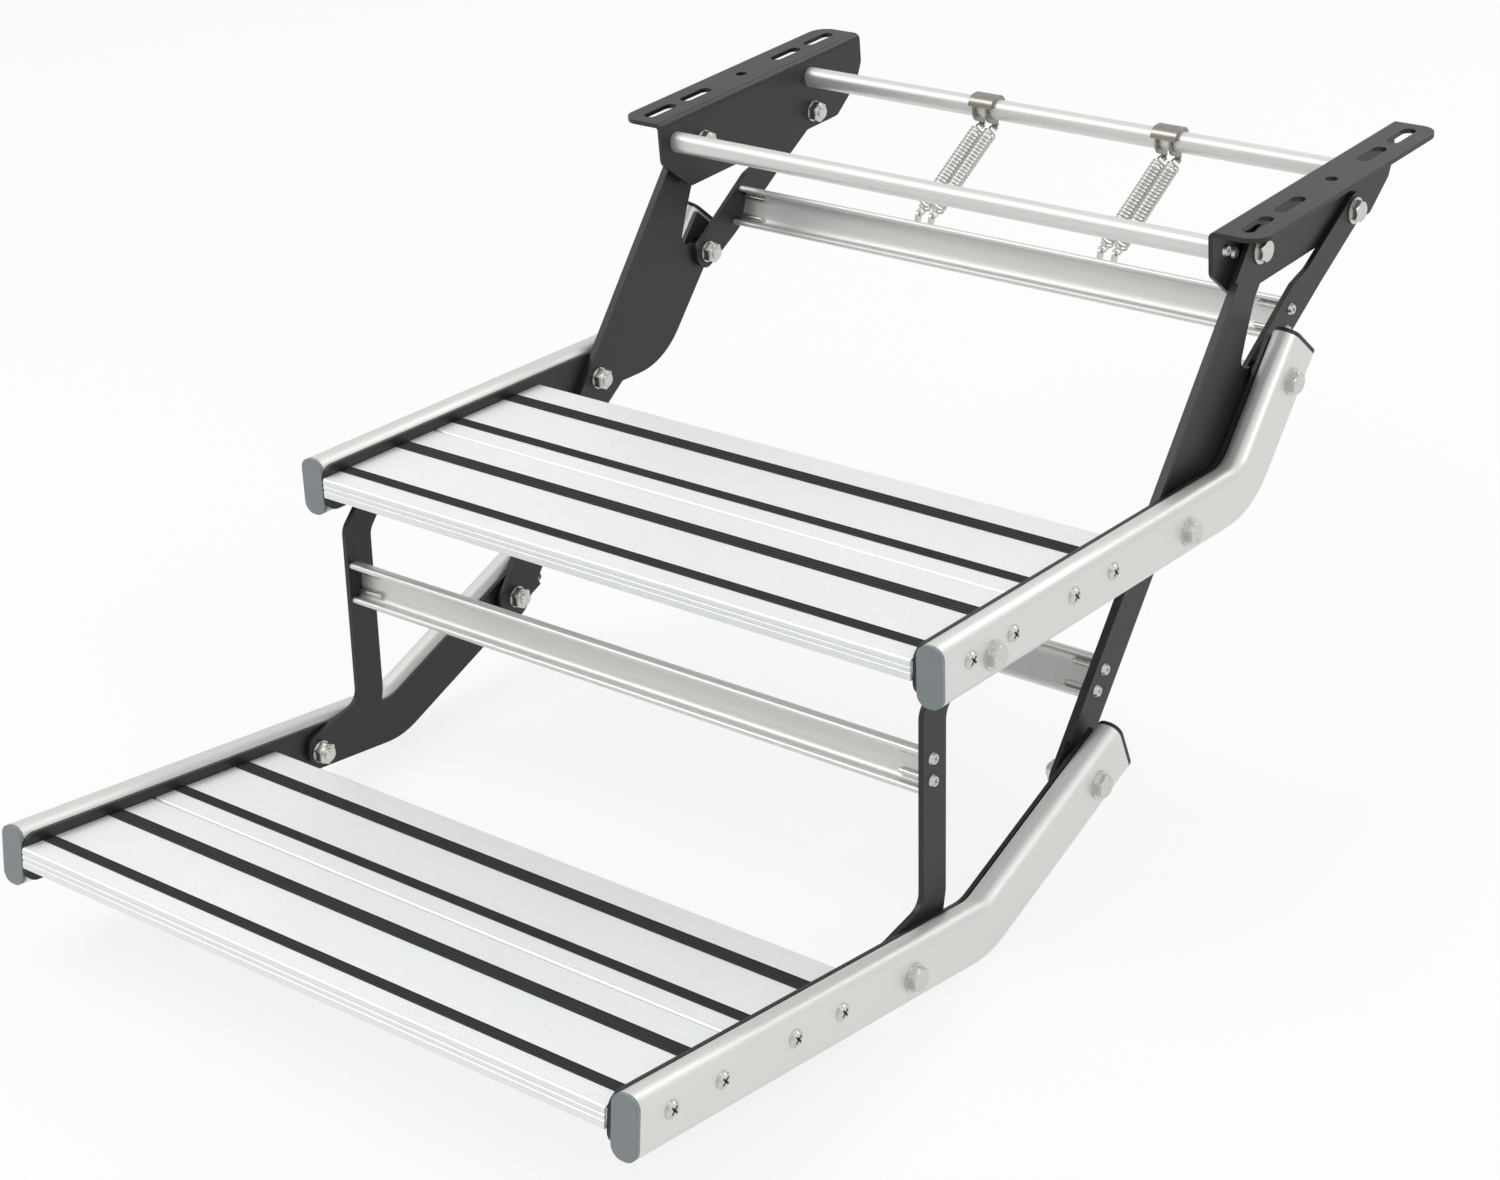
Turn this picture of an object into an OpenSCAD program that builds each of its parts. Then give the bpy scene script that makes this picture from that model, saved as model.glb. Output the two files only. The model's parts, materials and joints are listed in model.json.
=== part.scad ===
// Fold-out caravan entry step with two treads, shown folded out.
// The frame: X across the doorway, Y towards the vehicle, Z up. The origin is the
// middle of the plane in which the two brackets bolt up under the vehicle's floor.
// The step folds by its arms, which turn about the front pivots of the brackets.

/* [Treads] */
// Width of the treads, between the side plates
tread_w = 523; // [480:1:600]
// Depth of one plank, front to back
plank_d = 115; // [108:0.5:126]
// Gap between the two planks of a tread
plank_gap = 1.5; // [1:0.5:3]
// Height of a plank's front and back edge
plank_h = 15; // [14:0.5:18]
// Thickness of a plank's skin
plank_skin = 2; // [1.6:0.1:2.2]
// Height of the grip strips over the plank
grip_proud = 0.6; // [0.4:0.1:1.5]

/* [Rails] */
// Width of the side rails
rail_w = 20; // [18:1:28]
// Height of the side rails
rail_h = 43; // [40:1:50]
// Wall of the side rails
rail_wall = 2; // [1.5:0.1:3]
// Corner radius of the side rails
rail_r = 8.5; // [6:0.5:8.9]
// Radius of the rails' bend at mid height
rail_bend_r = 46; // [40:1:52]
// Bend of the upper rails
upper_bend = 50; // [44:1:54]
// Bend of the lower rails
lower_bend = 28.5; // [24:0.5:34]
// Thickness of the steel side plate inside each rail
side_plate_t = 3; // [2:0.5:4]
// Height of the side plates
side_plate_h = 35; // [32:1:38]
// Thickness of the flange of the grey end caps
cap_t = 3; // [2:0.5:4]

/* [Brackets] */
// Length of the mounting flange
bracket_l = 258; // [250:1:280]
// Width of the mounting flange, from the upright plate's inner face
flange_w = 41.5; // [38:0.5:46]
// Thickness of the bracket sheet
bracket_t = 3.5; // [3:0.5:4]
// Depth of the upright plate
bracket_h = 60; // [58:1:66]
// Width of the slots in the flange
slot_w = 10.5; // [8:0.5:12]
// Length of the slots in the flange
slot_l = 34; // [28:1:36]
// Distance of the outer slots from the middle
slot_far = 102; // [101:1:106]
// Distance of the inner slots from the middle
slot_near = 58; // [56:1:60]
// Diameter of the round hole in the flange
flange_hole_d = 9; // [7:0.5:12]

/* [Links and arms] */
// Thickness of the arm sheet
arm_t = 3.5; // [3:0.5:4]
// Half the width of an arm
arm_half = 16.5; // [15:0.5:18]
// Thickness of the rear and front links
link_t = 4; // [3:0.5:4.2]
// Diameter of the pivot bolts
bolt_d = 10; // [8:0.5:11]

/* [Crossbars] */
// Height of the channel bars between arms or links
channel_h = 32; // [28:1:34]
// Depth of the channel bars
channel_d = 13; // [10:1:15]
// Wall of the crossbars
bar_wall = 2; // [1.5:0.1:2.5]

/* [Springs] */
// Outer diameter of the springs
spring_d = 11.5; // [10:0.5:12]
// Diameter of the spring wire
wire_d = 1.6; // [1.2:0.1:2]
// Number of turns
spring_turns = 25; // [18:1:30]
// Gap between the two springs of a pair
spring_gap = 1; // [0.5:0.5:4]

/* [Hidden] */
$fn = 48;
black = "#2b2c2e";
alloy = "#dfe2e0";
zinc = "#c3c6c2";
grey = "#838b8d";

// Pivots as [y, z]: A and B on the brackets, C and E on the arms,
// D between rear link and upper step, G and F on the front links
A = [-80, -28];
B = [61, -46.5];
C = [-218.5, -181.5];
D = [-81, -122];
E = [-336.5, -322.5];
F = [-553, -355];
G = [-452.5, -168];

// Each tread's front edge at deck level as [y, z], and its slope as folded out
upper_at = [-508.6, -148.6];
lower_at = [-818.7, -295.9];
upper_tilt = -3.47;
lower_tilt = -9.54;

// Layers across the step, from the middle outwards
play = 0.3;
side_in = tread_w / 2 + play;
rail_in = side_in + side_plate_t;
rail_out = rail_in + rail_w;
front_link_out = side_in - play;
front_link_in = front_link_out - link_t;
arm_lip_out = side_in - 0.5;
arm_out = side_in - 3.3;
arm_in = arm_out - arm_t;
rear_link_out = arm_in - 0.6;
rear_link_in = rear_link_out - link_t;
bracket_out = rear_link_in - 0.5;
bracket_in = bracket_out - bracket_t;

// Heights in a step's own frame, from its deck line
deck_z = -3;
rail_mid = -13;
rail_start = 5;
screw_z = -9.5;
plank_pitch = plank_d + plank_gap;

// Clearances and fasteners
pin_play = 0.05;
bolt_r = bolt_d / 2;
washer_r = bolt_r + 5;
washer_t = 1.5;
head_t = 5;
head_r = bolt_r + 3.6;
nut_t = 6;
screw_r = 2;
screw_head_r = 4.6;
screw_head_t = 2.4;
tread_head_r = 5.6;
screw_grip = 22;
spacer_r = bolt_r + 4;

// Grip strips in each plank as [from, to], and the screws near them
grips = [[17.7, 27.5], [74.6, 87.4]];
screws = [32.8, 79.5];
groove = 1.6;

// Crossbars as [y, z, turn]
arm_turn = atan2(E[1] - A[1], E[0] - A[0]) + 90;
front_bar_at = [-112, -19];
rear_bar_at = [60, -17];
link_bar_at = [-30, -100, -22];
arm_bar_at = with_r(beside(A, E, 322, 2), arm_turn);
front_link_bar_at = [-488, -240, -4];
bar_screw_v = 8;
bar_screw_u = -3.2;

// Springs: hook points as [y, z] and places across, each for a pair. The upper hook is as
// far from the lower one folded as it is folded out.
link_fold = 133.694;
hook_rise = 15.5;
hook_lift = 5;
hook_low = on_bar(link_bar_at, [-6, channel_h / 2 + hook_lift]);
hook_turn = atan2(hook_low[1] - B[1], hook_low[0] - B[0]) + link_fold / 2 + 180;
hook_top = B + hook_rise * [cos(hook_turn), sin(hook_turn)];
spring_x = [-70, 98];
spring_pair = [-1, 1] * (spring_d + spring_gap) / 2;
hook_r = 3.4;
eye_r = wire_d / 2 + play + 0.1;
tab_t = 2;
tab_r = eye_r + 2;
saddle_w = 22;

// Points and outlines

function unit(v) = v / norm(v);
function turn(p, a) = [p[0] * cos(a) - p[1] * sin(a), p[0] * sin(a) + p[1] * cos(a)];

// A pivot in a step's own frame
function in_step(p, at, tilt) = turn(p - at, -tilt);

// The arc that rounds corner b between a and c
function corner(a, b, c, r, n) =
    r <= 0 ? [b] :
    let (u = unit(a - b), w = unit(c - b), half = acos(u * w) / 2,
         o = b + unit(u + w) * r / sin(half),
         s = b + u * r / tan(half) - o, e = b + w * r / tan(half) - o,
         from = atan2(s[1], s[0]), raw = atan2(e[1], e[0]) - from,
         sweep = raw > 180 ? raw - 360 : raw < -180 ? raw + 360 : raw)
    [for (i = [0:n]) o + r * [cos(from + sweep * i / n), sin(from + sweep * i / n)]];

// An outline from corners [y, z, radius]
function rounded(pts, n = 6) =
    let (m = len(pts))
    [for (i = [0:m - 1])
        let (a = pts[(i + m - 1) % m], b = pts[i], c = pts[(i + 1) % m])
        each corner([a[0], a[1]], [b[0], b[1]], [c[0], c[1]], b[2], n)];

// A point beside the line from p to q: t along it, s to its left
function beside(p, q, t, s) =
    let (u = unit(q - p)) [p[0] + u[0] * t - u[1] * s, p[1] + u[1] * t + u[0] * s];
function with_r(p, r) = [p[0], p[1], r];

// Placing

module mirrored(left) {
    if (left) mirror([1, 0, 0]) children();
    else children();
}

module both_sides() {
    children();
    mirror([1, 0, 0]) children();
}

// Turns an outline in the XY plane into a sheet from x0 to x1
module sheet(x0, x1) {
    translate([x0, 0, 0]) rotate([90, 0, 90]) linear_extrude(x1 - x0) children();
}

module in_frame(at, tilt) {
    translate([0, at[0], at[1]]) rotate([tilt, 0, 0]) children();
}

// A round rod along X at [y, z]
module rod(p, x0, x1, r) {
    translate([x0, p[0], p[1]]) rotate([0, 90, 0]) cylinder(h = x1 - x0, r = r);
}

module hexagon(p, x0, x1, r) {
    translate([x0, p[0], p[1]]) rotate([0, 90, 0]) cylinder(h = x1 - x0, r = r, $fn = 6);
}

// Fasteners, for the right side

// Bolt with its head on the outside, resting at x_head, and its shank down to x_end
module bolt(p, x_head, x_end) {
    rod(p, x_end, x_head + washer_t, bolt_r);
    difference() {
        rod(p, x_head, x_head + washer_t, washer_r);
        rod(p, x_head - 1, x_head + washer_t + 1, bolt_r);
    }
    intersection() {
        hexagon(p, x_head + washer_t, x_head + washer_t + head_t, head_r);
        translate([x_head + washer_t, p[0], p[1]]) rotate([0, 90, 0])
            cylinder(h = head_t, r1 = head_r + head_t * 0.6, r2 = head_r * 0.86);
    }
}

// Nut and washer on the inside, against the face at x_face, for a bolt end of radius r
module nut(p, x_face, r) {
    difference() {
        rod(p, x_face - washer_t, x_face, washer_r - 1.5);
        rod(p, x_face - washer_t - 1, x_face + 1, r);
    }
    difference() {
        hexagon(p, x_face - washer_t - nut_t, x_face - washer_t, head_r);
        rod(p, x_face - washer_t - nut_t - 1, x_face, r);
    }
}

// A cross-head screw whose head rests at x_face
module screw(p, x_face, grip, head = screw_head_r) {
    difference() {
        union() {
            rod(p, x_face - grip, x_face, screw_r);
            translate([x_face, p[0], p[1]]) rotate([0, 90, 0])
                cylinder(h = screw_head_t, r1 = head, r2 = head * 0.72);
        }
        translate([x_face + screw_head_t, p[0], p[1]]) for (a = [45, 135])
            rotate([a, 0, 0]) cube([2.4, 1, 4.6], center = true);
    }
}

// Rails and side plates

function bend_tangent(b) = rail_bend_r * tan(b / 2);
function bend_at(p, b) = p[0] - (p[1] - rail_mid) / tan(b);

// From the bend's end to the rail's end, past the pivot at p by some length
function rail_reach(p, b, past) = (p[1] - rail_mid) / sin(b) - bend_tangent(b) + past;

// A rail's line as [y, z, slope]: straight, bend, straight. s lifts it beside the mid line.
function rail_line(start, p, b, past, s = 0) =
    let (n = 14, y1 = bend_at(p, b) - bend_tangent(b), r = rail_bend_r - s,
         z1 = rail_mid + rail_bend_r, reach = rail_reach(p, b, past))
    [[start, rail_mid + s, 0],
     each [for (i = [0:n]) [y1 + r * sin(b * i / n), z1 - r * cos(b * i / n), b * i / n]],
     [y1 + r * sin(b) + reach * cos(b), z1 - r * cos(b) + reach * sin(b), b]];

// Carries a section's points [x, up] along such a line
module sweep(line, section) {
    m = len(section);
    n = len(line) - 1;
    polyhedron([for (p = line) each [for (q = section)
            [q[0], p[0] - q[1] * sin(p[2]), p[1] + q[1] * cos(p[2])]]],
        concat([[for (j = [0:m - 1]) j]], [[for (j = [m - 1:-1:0]) n * m + j]],
            [for (i = [0:n - 1], j = [0:m - 1]) let (k = (j + 1) % m)
                [i * m + j, (i + 1) * m + j, (i + 1) * m + k, i * m + k]]));
}

// Rectangle with round corners, from exact circles
module round_box(w, h, r) {
    square([w - 2 * r, h], center = true);
    square([w, h - 2 * r], center = true);
    for (i = [-1, 1], j = [-1, 1]) translate([i * (w / 2 - r), j * (h / 2 - r)]) circle(r);
}

function rail_section(wall) =
    let (x0 = rail_in + wall, x1 = rail_out - wall, h = rail_h / 2 - wall, r = rail_r - wall)
    rounded([[x0, -h, r], [x0, h, r], [x1, h, r], [x1, -h, r]], 5);

// Holes through a rail and its side plate
module rail_holes(pivots, x0, x1) {
    for (p = pivots) rod(p, x0, x1, bolt_r + pin_play);
    for (k = [0, 1], s = screws)
        rod([s + k * plank_pitch, screw_z], x0, x1, screw_r + pin_play);
}

module rail(at, tilt, b, end_pivot, past, pivots) {
    p = in_step(end_pivot, at, tilt);
    color(alloy) in_frame(at, tilt) difference() {
        sweep(rail_line(rail_start, p, b, past), rail_section(0));
        sweep(rail_line(rail_start - 1, p, b, past + 1), rail_section(rail_wall));
        rail_holes([for (q = pivots) in_step(q, at, tilt)], rail_in - 1, rail_out + 1);
    }
}

// The steel plate that lines a rail, with round corners at its front end
module side_plate(at, tilt, b, end_pivot, past, pivots) {
    p = in_step(end_pivot, at, tilt);
    nose = rail_start - cap_t;
    nose_r = 11;
    h = side_plate_h / 2;
    under = rail_line(nose, p, b, past - 3, -h);
    over = rail_line(nose, p, b, past - 3, h);
    n = len(over);
    color(black) in_frame(at, tilt) difference() {
        sheet(side_in, rail_in) polygon(rounded([
            [nose, rail_mid - h, nose_r], each [for (i = [1:n - 1]) with_r(under[i], 0)],
            each [for (i = [n - 1:-1:1]) with_r(over[i], 0)], [nose, rail_mid + h, nose_r]]));
        rail_holes([for (q = pivots) in_step(q, at, tilt)], side_in - 1, rail_in + 1);
    }
}

module end_plug(body_l) {
    translate([(rail_in + rail_out) / 2, 0, 0]) rotate([90, 0, 0]) {
        linear_extrude(cap_t) round_box(rail_w, rail_h, rail_r);
        translate([0, 0, -body_l]) linear_extrude(body_l)
            round_box(rail_w - 2 * rail_wall - play, rail_h - 2 * rail_wall - play,
                rail_r - rail_wall - play / 2);
    }
}

module front_caps(at, tilt) {
    color(grey) both_sides() in_frame(at, tilt) translate([0, rail_start, rail_mid]) end_plug(10);
}

module rear_caps(at, tilt, b, end_pivot, past) {
    p = in_step(end_pivot, at, tilt);
    color(black) both_sides() in_frame(at, tilt)
        translate([0, p[0], p[1]]) rotate([b, 0, 0]) translate([0, past, 0])
            mirror([0, 1, 0]) end_plug(6);
}

// Treads

// Section of one plank: y from its front edge, z from the deck line
module plank_section() {
    top = deck_z;
    under = top - plank_skin;
    low = top - plank_h;
    seat = top - groove;
    seat_under = seat - plank_skin * 0.8;
    lip = 7;
    notch = 0.8;
    function around(g) = [[g[0] - 2, under, 0], [g[0] - 1.4, seat_under, 0],
        [g[1] + 1.4, seat_under, 0], [g[1] + 2, under, 0]];
    difference() {
        union() {
            polygon(rounded([
                [lip, low, 0], [lip, low + plank_skin, 0], [plank_skin, low + plank_skin, 0],
                [plank_skin, under, 0], each around(grips[0]), each around(grips[1]),
                [plank_d - plank_skin, under, 0], [plank_d - plank_skin, low + plank_skin, 0],
                [plank_d - lip, low + plank_skin, 0], [plank_d - lip, low, 0],
                [plank_d, low, 0], [plank_d, top, 1],
                each [for (i = [1:-1:0]) let (g = grips[i])
                    each [[g[1], top, 0], [g[1], seat, 0], [g[0], seat, 0], [g[0], top, 0]]],
                [0, top, 2.4], [0, top - 4.4, 0], [notch, top - 5, 0], [0, top - 5.6, 0],
                [0, top - 8.4, 0], [notch, top - 9, 0], [0, top - 9.6, 0], [0, low, 1]], 4));
            for (s = screws) {
                translate([s, screw_z]) circle(screw_r + 1.9);
                translate([s - 1, screw_z]) square([2, under - screw_z + 0.4]);
            }
        }
        for (s = screws) translate([s, screw_z]) circle(screw_r + pin_play);
    }
}

module plank(at, tilt, k) {
    color(alloy) in_frame(at, tilt) translate([0, k * plank_pitch, 0]) difference() {
        sheet(-tread_w / 2, tread_w / 2) plank_section();
        for (s = screws) rod([s, screw_z], -tread_w, tread_w, screw_r + pin_play);
    }
}

module grip_strips(at, tilt) {
    ribs = 4;
    color(black) in_frame(at, tilt) for (k = [0, 1], g = grips)
        translate([0, k * plank_pitch + g[0] + 0.1, deck_z - groove]) {
            w = g[1] - g[0] - 0.2;
            step = w / (2 * ribs - 1);
            sheet(-tread_w / 2 + 1, tread_w / 2 - 1) {
                square([w, groove + grip_proud / 2]);
                for (i = [0:ribs - 1]) translate([2 * i * step, 0]) square([step, groove + grip_proud]);
            }
        }
}

module tread_screws(at, tilt) {
    color(zinc) both_sides() in_frame(at, tilt) for (k = [0, 1], s = screws)
        screw([s + k * plank_pitch, screw_z], rail_out, rail_out - side_in + screw_grip, tread_head_r);
}

// Brackets

module bracket_outline() {
    half = bracket_l / 2;
    polygon(rounded([
        [-half, -bracket_t, 0], [-half, -33, 8], [-half + 30, -bracket_h, 6],
        [half - 36, -bracket_h, 8], [half - 8, -40, 8], [half, -24, 6], [half, -bracket_t, 0]]));
}

// Slot from exact circles, along Y
module slot_cut(y) {
    h = slot_l - slot_w;
    translate([0, y, -bracket_t - 1]) {
        translate([-slot_w / 2, -h / 2, 0]) cube([slot_w, h, bracket_t + 2]);
        for (s = [-1, 1]) translate([0, s * h / 2, 0]) cylinder(h = bracket_t + 2, d = slot_w);
    }
}

slot_line = bracket_in + flange_w / 2 + 2;

module bracket(left) {
    half = bracket_l / 2;
    edge = 15;
    bend = bracket_t + 1.5;
    color(black) mirrored(left) difference() {
        union() {
            sheet(bracket_in, bracket_out) difference() {
                bracket_outline();
                translate([-half - 1, -bend]) square([bracket_l + 2, bend + 1]);
            }
            // The bend, and the flange with its two round outer corners
            translate([bracket_in + bend, half, -bend]) rotate([90, 0, 0]) linear_extrude(bracket_l)
                intersection() {
                    difference() {
                        circle(bend);
                        circle(bend - bracket_t);
                    }
                    translate([-bend, 0]) square(bend);
                }
            translate([0, 0, -bracket_t]) linear_extrude(bracket_t)
                polygon(rounded([[bracket_in + bend, -half, 0], [bracket_in + flange_w, -half, edge],
                    [bracket_in + flange_w, half, edge], [bracket_in + bend, half, 0]], 10));
        }
        translate([slot_line, 0, 0]) {
            for (s = [-1, 1]) {
                slot_cut(s * slot_far);
                slot_cut(s * slot_near);
            }
            translate([0, 0, -bracket_t - 1]) cylinder(h = bracket_t + 2, d = flange_hole_d);
        }
        for (p = [A, B]) rod(p, bracket_in - 1, bracket_out + 1, bolt_r + pin_play);
        for (p = bracket_screw_at()) rod(p, bracket_in - 1, bracket_out + 1, screw_r + pin_play);
    }
}

function bracket_screw_at() = [
    front_bar_at, front_bar_at + [11.5, -5.5], rear_bar_at];

module hollow_bar_section(lip) {
    w = 14;
    h = 16;
    difference() {
        union() {
            difference() {
                round_box(w, h, 6.5);
                round_box(w - 2 * bar_wall, h - 2 * bar_wall, 6.5 - bar_wall);
            }
            circle(screw_r + 1.9);
            square([bar_wall * 0.8, h - bar_wall], center = true);
            if (lip) {
                translate([0, -h / 2]) square([15, bar_wall]);
                translate([11.5, -5.5]) circle(screw_r + 1.9);
            }
        }
        circle(screw_r + pin_play);
        if (lip) translate([11.5, -5.5]) circle(screw_r + pin_play);
    }
}

module front_bar() {
    color(alloy) translate([0, front_bar_at[0], front_bar_at[1]])
        sheet(-bracket_in, bracket_in) hollow_bar_section(true);
}

module rear_bar() {
    color(alloy) translate([0, rear_bar_at[0], rear_bar_at[1]])
        sheet(-bracket_in, bracket_in) hollow_bar_section(false);
}

module bracket_screws() {
    color(zinc) both_sides() for (p = bracket_screw_at())
        screw(p, bracket_out, bracket_t + screw_grip);
}

// Arms, links and their bars

module arm_outline() {
    h = arm_half;
    l = norm(E - A);
    seat = spacer_r + 3;
    polygon(rounded([
        with_r(beside(A, E, -h, -h), h * 0.8), with_r(beside(A, E, l + h, -h), h * 0.8),
        with_r(beside(A, E, l + h, h), h * 0.8), with_r(beside(A, E, 226, h + 1), 14),
        [-190, -194, 6], [-147.5, -192.6, 34], [-93.5, -143.5, 6],
        [D[0] - seat + 3, D[1] - seat + 1, 3], [D[0] - seat - 1, D[1], 6],
        [D[0] - seat + 2, D[1] + seat - 1, 2], [-97, -112, 6], [-107, -106, 6],
        [-98, -84, 8], with_r(beside(A, E, 30, h), 8), with_r(beside(A, E, -h, h), h * 0.8)]));
}

// The front edge of the arm turns outwards as a lip
module arm_lip() {
    a = beside(A, E, 32, -arm_half);
    l = norm(E - A) - 52;
    along = atan2(E[1] - A[1], E[0] - A[0]);
    translate([arm_out - 0.5, a[0], a[1]]) rotate([along, 0, 0])
        cube([arm_lip_out - arm_out + 0.5, l, arm_t]);
}

module arm(left) {
    color(black) mirrored(left) difference() {
        union() {
            sheet(arm_in, arm_out) arm_outline();
            arm_lip();
        }
        for (p = [A, C, E]) rod(p, arm_in - 1, arm_lip_out + 1, bolt_r + pin_play);
        for (p = bar_screws_at(arm_bar_at)) rod(p, arm_in - 1, arm_out + 1, screw_r + pin_play);
    }
}

module rear_link_outline() {
    l = norm(D - B);
    polygon(rounded([
        with_r(beside(B, D, -13, -12), 10), with_r(beside(B, D, 70, -12), 12),
        with_r(beside(B, D, 90, -17), 12), with_r(beside(B, D, l + 13, -12), 11),
        with_r(beside(B, D, l + 13, 12), 11), with_r(beside(B, D, 128, 14), 20),
        with_r(beside(B, D, 60, 12), 20), with_r(beside(B, D, -13, 12), 10)]));
}

module rear_link(left) {
    color(black) mirrored(left) difference() {
        sheet(rear_link_in, rear_link_out) rear_link_outline();
        rod(B, rear_link_in - 1, rear_link_out + 1, bolt_r + pin_play);
        rod(D, rear_link_in - 1, rear_link_out + 1, bolt_r + pin_play);
        for (p = bar_screws_at(link_bar_at))
            rod(p, rear_link_in - 1, rear_link_out + 1, screw_r + pin_play);
    }
}

module front_link_outline() {
    polygon(rounded([
        [G[0] + 5, G[1] + 9.5, 7], [G[0] + 11, G[1] - 4, 8], [-474, -206, 14], [-484, -334, 10],
        [-489, -352, 10], [F[0] + 2, F[1] - 13, 10], [F[0] - 13, F[1] - 3, 10],
        [F[0] - 8, F[1] + 13, 8], [-509, -334, 12], [-498, -196, 14], [G[0] - 9, G[1] + 6, 7]]));
}

module front_link(left) {
    color(black) mirrored(left) difference() {
        sheet(front_link_in, front_link_out) front_link_outline();
        for (p = [F, G]) rod(p, front_link_in - 1, front_link_out + 1, bolt_r + pin_play);
        for (p = bar_screws_at(front_link_bar_at))
            rod(p, front_link_in - 1, front_link_out + 1, screw_r + pin_play);
    }
}

function on_bar(bar, p) = [bar[0], bar[1]] + turn(p, bar[2]);
function bar_screws_at(bar) = [for (s = [-1, 1]) on_bar(bar, [bar_screw_u, s * bar_screw_v])];

// Channel section: the web stands at the back and two beaded lips point forwards
module channel_section() {
    h = channel_h / 2;
    bead = 2.2;
    difference() {
        union() {
            translate([-bar_wall / 2, -h]) square([bar_wall, channel_h]);
            for (s = [-1, 1]) {
                translate([-channel_d + bead, s * (h - bar_wall / 2) - bar_wall / 2])
                    square([channel_d - bead, bar_wall]);
                translate([-channel_d + bead, s * (h - bead)]) circle(bead);
                translate([bar_screw_u, s * bar_screw_v]) circle(screw_r + 1.9);
            }
        }
        for (s = [-1, 1]) translate([bar_screw_u, s * bar_screw_v]) circle(screw_r + pin_play);
    }
}

module channel_bar(bar, x_end) {
    color(alloy) translate([0, bar[0], bar[1]]) rotate([bar[2], 0, 0])
        sheet(-x_end, x_end) channel_section();
}

module bar_screws(bar, x_face, sheet_t) {
    color(zinc) both_sides() for (p = bar_screws_at(bar)) screw(p, x_face, sheet_t + screw_grip);
}

// Springs

spring_dir = unit(hook_low - hook_top);
spring_len = norm(hook_low - hook_top);
spring_turn = atan2(spring_dir[1], spring_dir[0]);

// Round-wire coil along Y from y0 to y1, as rings of points along a helix
module coil(y0, y1, r, turns, wire_r) {
    per_turn = 9;
    sides = 5;
    n = turns * per_turn;
    pitch = (y1 - y0) / turns;
    function ring(i) = let (a = 360 * i / per_turn, y = y0 + (y1 - y0) * i / n)
        [for (j = [0:sides - 1]) let (b = 360 * j / sides, q = r + wire_r * cos(b))
            [q * cos(a), y + wire_r * sin(b), q * sin(a)]];
    pts = [for (i = [0:n]) each ring(i)];
    polyhedron(pts, concat(
        [[for (j = [0:sides - 1]) j]],
        [[for (j = [sides - 1:-1:0]) n * sides + j]],
        [for (i = [0:n - 1], j = [0:sides - 1]) let (k = (j + 1) % sides)
            [i * sides + j, (i + 1) * sides + j, (i + 1) * sides + k, i * sides + k]]));
}

module hook(y) {
    translate([0, y, 0]) rotate_extrude($fn = 32) translate([hook_r, 0]) circle(wire_d / 2, $fn = 16);
}

// Two springs side by side, which share a clip
module springs(x) {
    end = 2 * hook_r + wire_d * 0.2;
    r = (spring_d - wire_d) / 2;
    color(zinc) for (s = spring_pair) translate([x + s, hook_top[0], hook_top[1]])
            rotate([spring_turn, 0, 0]) {
        hook(hook_r);
        hook(spring_len - hook_r);
        for (y = [end, spring_len - end]) translate([0, y, 0])
            rotate([0, 90, 0]) cylinder(h = 2 * r, d = wire_d, center = true, $fn = 16);
        coil(end, spring_len - end, r, spring_turns, wire_d / 2);
    }
}

// Clamps round the rear bar: a broad saddle on its top, and two eyes below it for the springs
module spring_hangers() {
    c = rear_bar_at;
    color(zinc) for (x = spring_x) difference() {
        union() {
            sheet(x - saddle_w / 2, x + saddle_w / 2) intersection() {
                translate(c) round_box(20, 22, 8);
                translate(c + [-12, 3]) square([24, 12]);
            }
            for (s = spring_pair) sheet(x + s - tab_t / 2, x + s + tab_t / 2) {
                translate(c) round_box(20, 22, 8);
                translate([hook_top[0] - tab_r, hook_top[1]]) square([2 * tab_r, 8]);
                translate(hook_top) circle(tab_r);
            }
        }
        sheet(x - saddle_w, x + saddle_w) translate(c) round_box(14.2, 16.2, 6.6);
        sheet(x - saddle_w, x + saddle_w) translate(hook_top) circle(eye_r);
    }
}

// Tabs on the channel bar, each with an eye for a spring
module spring_anchors() {
    base = on_bar(link_bar_at, [-6, channel_h / 2]);
    color(zinc) for (x = spring_x, s = spring_pair)
        sheet(x + s - tab_t / 2, x + s + tab_t / 2) difference() {
            union() {
                translate(base) rotate(link_bar_at[2])
                    translate([-tab_r, 0]) square([2 * tab_r, hook_lift]);
                translate(hook_low) circle(tab_r);
            }
            translate(hook_low) circle(eye_r);
        }
}

// Bolts at the pivots

// Arm pivot A: bolt, nut and spacer ride on the bracket
module arm_pivot_bolts() {
    color(zinc) both_sides() bolt(A, arm_out + 0.2, bracket_in - washer_t - nut_t - 3);
}

module arm_pivot_spacers() {
    color(black) both_sides() difference() {
        rod(A, bracket_out, arm_in - 0.2, spacer_r);
        rod(A, bracket_out - 1, arm_in + 1, bolt_r + pin_play);
    }
}

module rear_link_bolts() {
    color(zinc) both_sides() bolt(B, rear_link_out + 0.2, bracket_in - washer_t - nut_t - 3);
}

module pivot_nuts(p, x_face) {
    color(zinc) both_sides() nut(p, x_face, bolt_r);
}

// A pivot bolt from the rail's outer face in to the arm, with a washer beside the arm
module rail_pivot_bolts(p) {
    color(zinc) both_sides() {
        bolt(p, rail_out, arm_in - washer_t - nut_t - 3.2);
        difference() {
            rod(p, arm_out + 0.3, side_in, washer_r - 1);
            rod(p, arm_out, side_in + 1, bolt_r);
        }
    }
}

// A bolt that ends short of its link, because that pivot is left open
module open_bolts(p, x_end) {
    color(zinc) both_sides() bolt(p, rail_out, x_end);
}

// The inner end of such a bolt, with its nut, which stays with the link
module link_studs(p, x_out, x_in) {
    color(zinc) both_sides() {
        rod(p, x_in - washer_t - nut_t - 3, x_out, bolt_r);
        nut(p, x_in, bolt_r);
    }
}

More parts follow.
